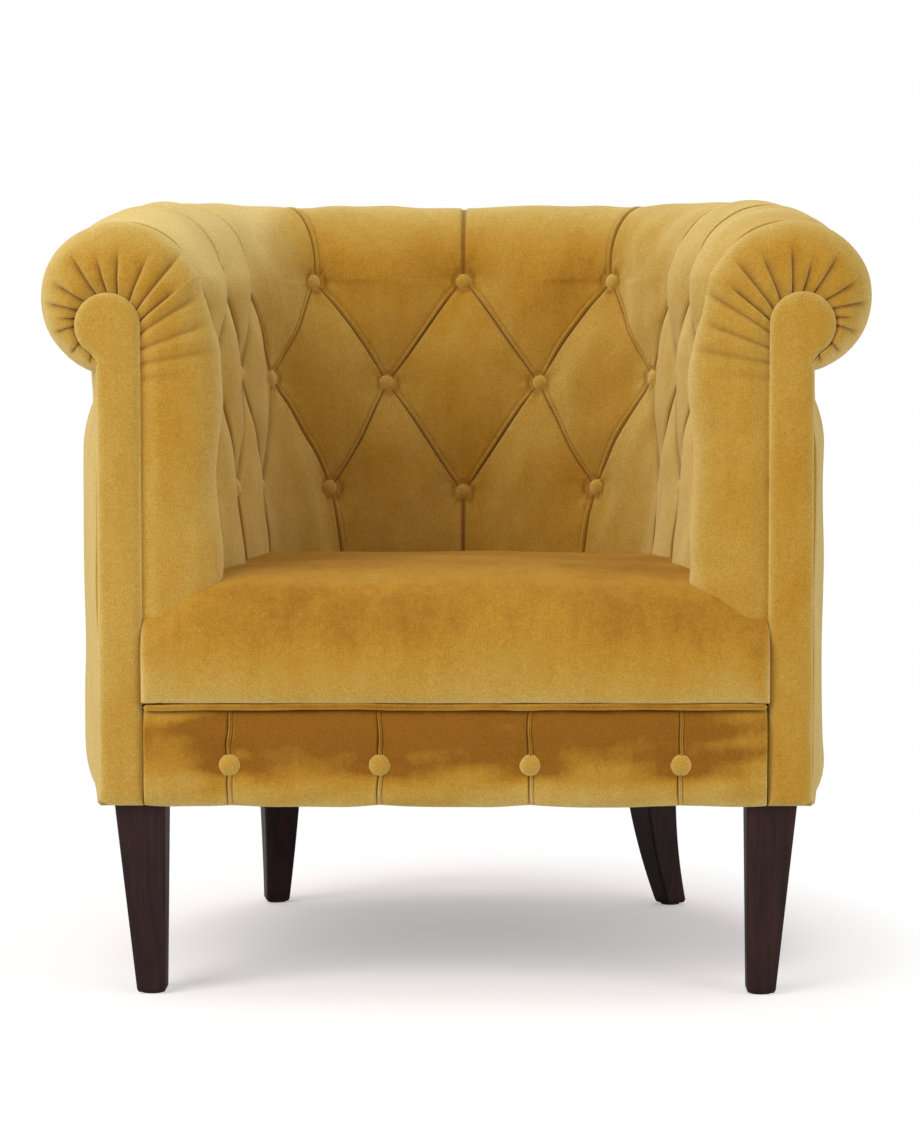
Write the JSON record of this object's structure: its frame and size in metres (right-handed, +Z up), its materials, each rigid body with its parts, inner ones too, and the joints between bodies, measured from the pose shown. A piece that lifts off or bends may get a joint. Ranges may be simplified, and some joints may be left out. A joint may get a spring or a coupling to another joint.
{
  "type": "upholstered armchair",
  "caption": "Deep-buttoned tub armchair with rolled arms that run round the back, a fixed sprung seat, a buttoned front border and four tapered wooden legs.",
  "frame": {"origin": "on the floor, under the middle of the chair's box", "axes": "+Z up, the chair faces -Y, +X to the right of someone looking at its front"},
  "size_m": [0.8538, 0.724, 0.8381],
  "materials": {
    "velvet": "mustard gold velvet",
    "leg_wood": "dark brown stained hardwood",
    "frame_wood": "bare sawn hardwood and plywood",
    "spring_steel": "oiled steel",
    "webbing": "woven jute webbing",
    "twine": "waxed twine",
    "lining_cloth": "black lining cloth",
    "glide_nylon": "moulded nylon"
  },
  "bodies": {
    "root": {"arm_padding_left": "velvet", "arm_padding_right": "velvet", "arm_roll_left": "velvet", "arm_roll_right": "velvet", "arm_stay_rail_left": "frame_wood", "arm_stay_rail_right": "frame_wood", "arm_top_rail_left": "frame_wood", "arm_top_rail_right": "frame_wood", "arm_webbing_left": "webbing", "arm_webbing_right": "webbing", "back_padding": "velvet", "back_rail": "frame_wood", "back_roll": "velvet", "back_stay_rail": "frame_wood", "back_top_rail": "frame_wood", "back_uprights": "frame_wood", "back_webbing": "webbing", "border_buttons": "velvet", "button_ties": "twine", "dust_cover": "lining_cloth", "facing_board_left": "frame_wood", "facing_board_right": "frame_wood", "facing_pad_left": "velvet", "facing_pad_right": "velvet", "front_border": "velvet", "front_leg_left": "leg_wood", "front_leg_right": "leg_wood", "front_piping": "velvet", "front_post_left": "frame_wood", "front_post_right": "frame_wood", "front_rail": "frame_wood", "leg_blocks": "frame_wood", "leg_bolts": "spring_steel", "leg_glides": "glide_nylon", "outside_arm_panel_left": "velvet", "outside_arm_panel_right": "velvet", "outside_back_panel": "velvet", "rail_dowels": "frame_wood", "rear_leg_left": "leg_wood", "rear_leg_right": "leg_wood", "rear_post_left": "frame_wood", "rear_post_right": "frame_wood", "rear_spring_rail": "frame_wood", "seat_cushion": "velvet", "seat_platform": "lining_cloth", "seat_springs": "spring_steel", "side_rail_left": "frame_wood", "side_rail_right": "frame_wood", "spring_clips": "spring_steel", "tee_nuts": "spring_steel", "wall_buttons": "velvet"}
  },
  "joints": []
}
